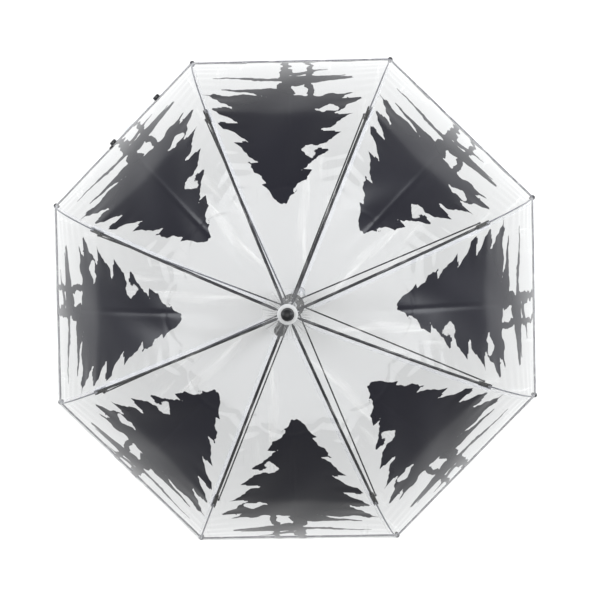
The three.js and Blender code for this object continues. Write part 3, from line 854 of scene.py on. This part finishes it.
fittingSetup = {
    "capRadii": [0.0004, 0.0022, 0.0034, 0.0040, 0.0041, 0.0036, 0.0024, 0.0004],
    "capPlaces": [-0.0026, -0.0025, -0.0016, 0.0004, 0.0034, 0.0054, 0.0067, 0.0071],
    "capOutward": 0.0026,
    "rivetShank": 0.00074,
    "rivetHead": 0.0017,
    "pinHead": 0.0013,
    "rivetAcross": (-0.0033, 0.0056),
    "pinAcross": (-0.0032, 0.0032),
    "wireRadius": 0.0006,
    "runnerWireRadius": 0.0147,
    "runnerWireDepth": 0.262,
    "stretcherInboard": 0.011,
    "stretcherBelow": 0.004,
}


# A rivet across a rib's plane, with a domed head at each end
def rivetPiece(name, spot, fromAcross, toAcross, head, azimuth):
    shank = fittingSetup["rivetShank"]
    places = np.array([fromAcross - 0.0006, fromAcross - 0.0005, fromAcross - 0.0001, fromAcross, toAcross,
                       toAcross + 0.0001, toAcross + 0.0005, toAcross + 0.0006])
    radii = np.array([0.3 * head, 0.8 * head, head, shank, shank, head, 0.8 * head, 0.3 * head])
    path = np.stack([np.full(8, spot[0]), places, np.full(8, spot[1] + apexHeight)], axis=1)
    return gridMesh(name, turnedAbout(tubeAlong(path, radii, 18), azimuth), wrap=True, caps=True)


def wireRing(name, radius, height):
    angle = np.linspace(0, 2 * math.pi, 73)[:-1]
    around = np.linspace(0, 2 * math.pi, 11)[:-1]
    out = radius + fittingSetup["wireRadius"] * np.cos(around)
    up = height + fittingSetup["wireRadius"] * np.sin(around)
    ring = np.stack([out[None] * np.cos(angle)[:, None], out[None] * np.sin(angle)[:, None],
                     np.broadcast_to(up[None], (72, 10))], axis=-1)
    return gridMesh(name, np.concatenate([ring, ring[:1]]), wrap=True)


jointPoint, jointNormal = ribArc(canopySetup["crownPivot"], canopySetup["ribJoint"],
                                 math.radians(canopySetup["upperHalfTurn"]), np.array([1.0]))
tipPoint, tipNormal = ribArc(canopySetup["ribJoint"], canopySetup["ribTip"],
                             math.radians(canopySetup["lowerHalfTurn"]), np.array([1.0]))
jointTangent = np.array([jointNormal[0, 1], -jointNormal[0, 0]])
tipTangent = np.array([tipNormal[0, 1], -tipNormal[0, 0]])
stretcherPivot = (jointPoint[0] - fittingSetup["stretcherInboard"] * jointTangent
                  - fittingSetup["stretcherBelow"] * jointNormal[0])

for number in range(1, panelCount + 1):
    azimuth = (number - 0.5) * ribStep
    places = np.array(fittingSetup["capPlaces"])[:, None] * tipTangent + tipPoint[0]
    places = places + fittingSetup["capOutward"] * tipNormal[0]
    path = np.stack([places[:, 0], 0 * places[:, 0], places[:, 1] + apexHeight], axis=1)
    capPoints = turnedAbout(tubeAlong(path, fittingSetup["capRadii"], 24), azimuth)
    tipCap = gridMesh(f"tip_cap_{number}", capPoints, wrap=True, caps=True)
    finished(tipCap, "blackPlastic", f"rib_lower_{number}")
    rivet = rivetPiece(f"stretcher_rivet_{number}", stretcherPivot, *fittingSetup["rivetAcross"],
                       fittingSetup["rivetHead"], azimuth)
    finished(rivet, "brightWire", f"rib_upper_{number}")
    pin = rivetPiece(f"knee_pin_{number}", jointPoint[0], *fittingSetup["pinAcross"],
                     fittingSetup["pinHead"], azimuth)
    finished(pin, "brightWire", f"rib_upper_{number}")

crownWire = wireRing("crown_wire", canopySetup["crownPivot"][0], apexHeight + canopySetup["crownPivot"][1])
finished(crownWire, "brightWire", "frame")
runnerWire = wireRing("runner_wire", fittingSetup["runnerWireRadius"],
                      apexHeight - fittingSetup["runnerWireDepth"])
finished(runnerWire, "brightWire", "runner")
print("fittings made")


floorMesh = bpy.data.meshes.new("floor")
half = floorSetup["size"] / 2
floorMesh.from_pydata([(-half, -half, floorHeight), (half, -half, floorHeight), (half, half, floorHeight),
                       (-half, half, floorHeight)], [], [(0, 1, 2, 3)])
floor = bpy.data.objects.new("floor", floorMesh)
scene.collection.objects.link(floor)
floorFinish, floorTree, floorShader = newMaterial("studio_floor")
floorShader.inputs["Base Color"].default_value = (*floorSetup["colour"], 1)
floorShader.inputs["Roughness"].default_value = 0.9
# From underneath the floor is not there, so that the underside can be looked at
facing = newNode(floorTree, "ShaderNodeNewGeometry")
unseen = newNode(floorTree, "ShaderNodeBsdfTransparent")
either = newNode(floorTree, "ShaderNodeMixShader")
join(floorTree, facing, "Backfacing", either, 0)
join(floorTree, floorShader, "BSDF", either, 1)
join(floorTree, unseen, "BSDF", either, 2)
join(floorTree, either, "Shader", floorTree.nodes["Material Output"], "Surface")
floorMesh.materials.append(floorFinish)
